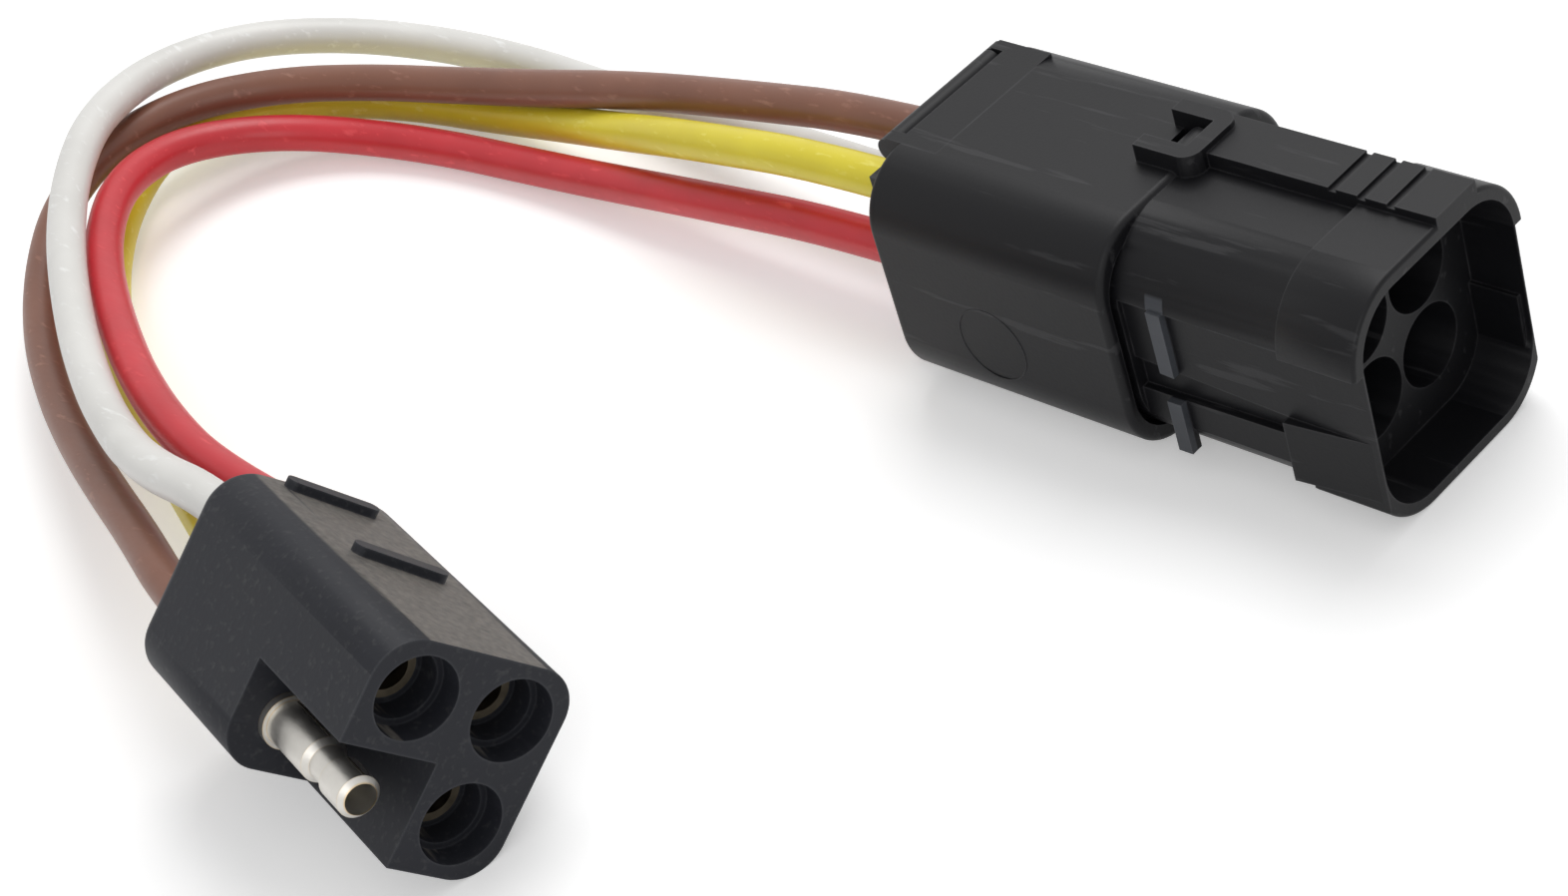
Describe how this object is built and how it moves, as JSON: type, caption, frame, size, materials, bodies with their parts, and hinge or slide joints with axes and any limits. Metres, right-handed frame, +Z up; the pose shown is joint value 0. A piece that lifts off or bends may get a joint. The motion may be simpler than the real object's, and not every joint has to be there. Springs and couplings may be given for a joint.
{
  "type": "trailer wiring connector",
  "caption": "Short four-wire harness with a sealed square connector at one end and a moulded bullet plug with sockets and one bare bullet at the other.",
  "frame": {"origin": "middle of the two connectors' box, on the surface they lie on", "axes": "+Z up; the square connector's mouth faces +X; the plug lies on the -Y side, turned 13.2 degrees"},
  "size_m": [0.1911, 0.1167, 0.0305],
  "materials": {
    "black_nylon": "satin moulded",
    "plug_rubber": "soft matte",
    "seal_silicone": "smooth",
    "stranded_copper": "bright strands",
    "tinned_brass": "dull tin",
    "bullet_metal": "dull tin over brass",
    "insulation_white": "satin",
    "insulation_brown": "satin",
    "insulation_red": "satin",
    "insulation_yellow": "satin"
  },
  "bodies": {
    "harness": {"tower_housing": "black_nylon", "hinge_leaf": "black_nylon", "plug_body": "plug_rubber", "bullet_terminal": "bullet_metal", "socket_terminal_white": "tinned_brass", "socket_terminal_red": "tinned_brass", "socket_terminal_yellow": "tinned_brass", "pin_terminal_yellow": "tinned_brass", "pin_terminal_red": "tinned_brass", "pin_terminal_brown": "tinned_brass", "pin_terminal_white": "tinned_brass", "cable_seal_yellow": "seal_silicone", "cable_seal_red": "seal_silicone", "cable_seal_brown": "seal_silicone", "cable_seal_white": "seal_silicone", "copper_core_yellow": "stranded_copper", "copper_core_red": "stranded_copper", "copper_core_brown": "stranded_copper", "copper_core_white": "stranded_copper", "wire_yellow": "insulation_yellow", "wire_red": "insulation_red", "wire_brown": "insulation_brown", "wire_white": "insulation_white"},
    "rear_lock": {"rear_lock": "black_nylon"},
    "latch_finger": {"latch_finger": "black_nylon"}
  },
  "joints": [
    {"name": "rear_lock_hinge", "type": "hinge", "parent": "harness", "child": "rear_lock", "pos_m": [-0.01705, 0.0429, 0.0268], "axis": [0, 1, 0], "range_deg": [0, 95]},
    {"name": "latch_finger_press", "type": "hinge", "parent": "harness", "child": "latch_finger", "pos_m": [-0.0023, 0.04615, 0.0258], "axis": [0, 1, 0], "range_deg": [0, 3.4], "stiffness_Nm_per_rad": 0.5}
  ]
}
